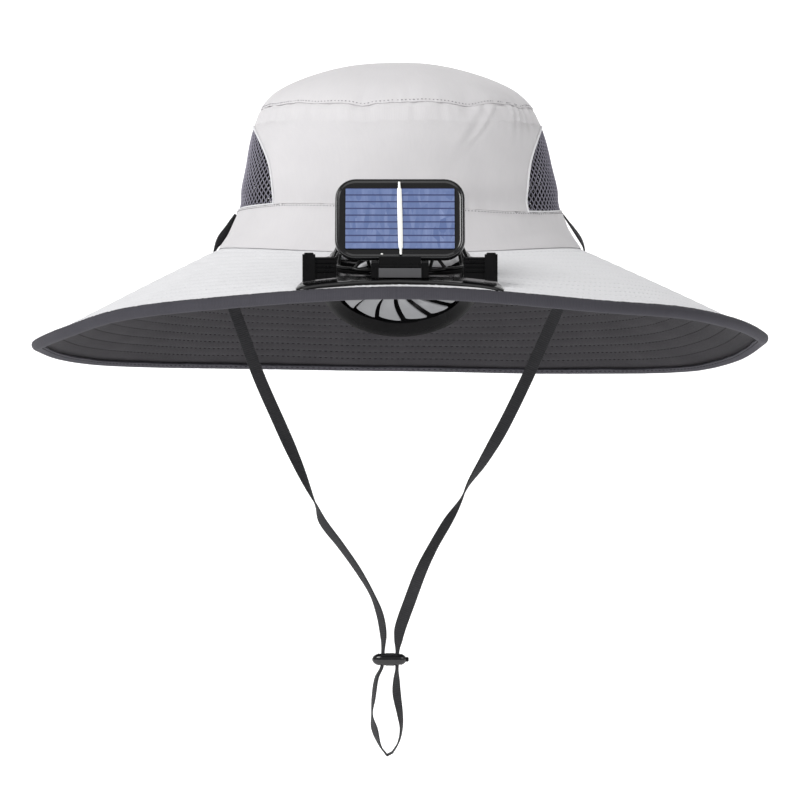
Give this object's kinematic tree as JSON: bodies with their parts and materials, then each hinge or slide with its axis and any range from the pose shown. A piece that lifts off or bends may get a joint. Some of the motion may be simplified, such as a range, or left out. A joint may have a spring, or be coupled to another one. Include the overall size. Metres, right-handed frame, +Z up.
{
  "type": "solar fan sun hat",
  "caption": "Wide-brimmed cloth sun hat with net side panels, a chin strap with a cord lock, and a small solar fan through the front brim.",
  "frame": {"origin": "middle of the head opening, at the height of the side seams between the band and the brim", "axes": "+Z up towards the crown's tip, -Y towards the front of the hat with the fan, +X towards the wearer's left"},
  "size_m": [0.3928, 0.4185, 0.3733],
  "materials": {
    "light_cloth": "matt woven polyester",
    "brim_cloth": "matt woven polyester, quilted in rings",
    "dark_cloth": "matt woven polyester, quilted in rings",
    "binding_cloth": "woven tape",
    "net": "knitted spacer net",
    "strap": "woven tape",
    "black_plastic": "glossy",
    "grey_plastic": "glossy",
    "dark_metal": "plain",
    "solar_cell": "blue cell under clear resin",
    "solder": "dull solder"
  },
  "bodies": {
    "hat": {"crown_tip": "light_cloth", "crown_front": "light_cloth", "crown_back": "light_cloth", "mesh_panel_left": "net", "mesh_panel_right": "net", "hat_band": "light_cloth", "brim_top": "brim_cloth", "brim_underside": "dark_cloth", "brim_binding": "binding_cloth", "chin_strap": "strap", "cord_lock": "black_plastic", "fan_flange": "black_plastic", "fan_housing": "black_plastic", "fan_guard": "black_plastic", "fan_motor": "dark_metal", "fan_duct": "black_plastic", "outlet_fins": "grey_plastic", "side_bracket_left": "black_plastic", "side_bracket_right": "black_plastic", "panel_bracket": "black_plastic", "bracket_cover": "grey_plastic"},
    "rotor": {"fan_rotor": "grey_plastic"},
    "panel": {"panel_frame": "black_plastic", "solar_cell": "solar_cell", "busbar": "solder"},
    "button": {"lock_button": "black_plastic"}
  },
  "joints": [
    {"name": "fan_spin", "type": "hinge", "parent": "hat", "child": "rotor", "pos_m": [0, -0.151, -0.01747], "axis": [0, -0.2129, 0.9771], "continuous": true},
    {"name": "panel_tilt", "type": "hinge", "parent": "hat", "child": "panel", "pos_m": [0, -0.193, -0.0182], "axis": [1, 0, 0], "range_deg": [-10, 50]},
    {"name": "lock_press", "type": "slide", "parent": "hat", "child": "button", "axis": [-1, 0, 0], "range_m": [0, 0.001], "stiffness_N_per_m": 300}
  ]
}
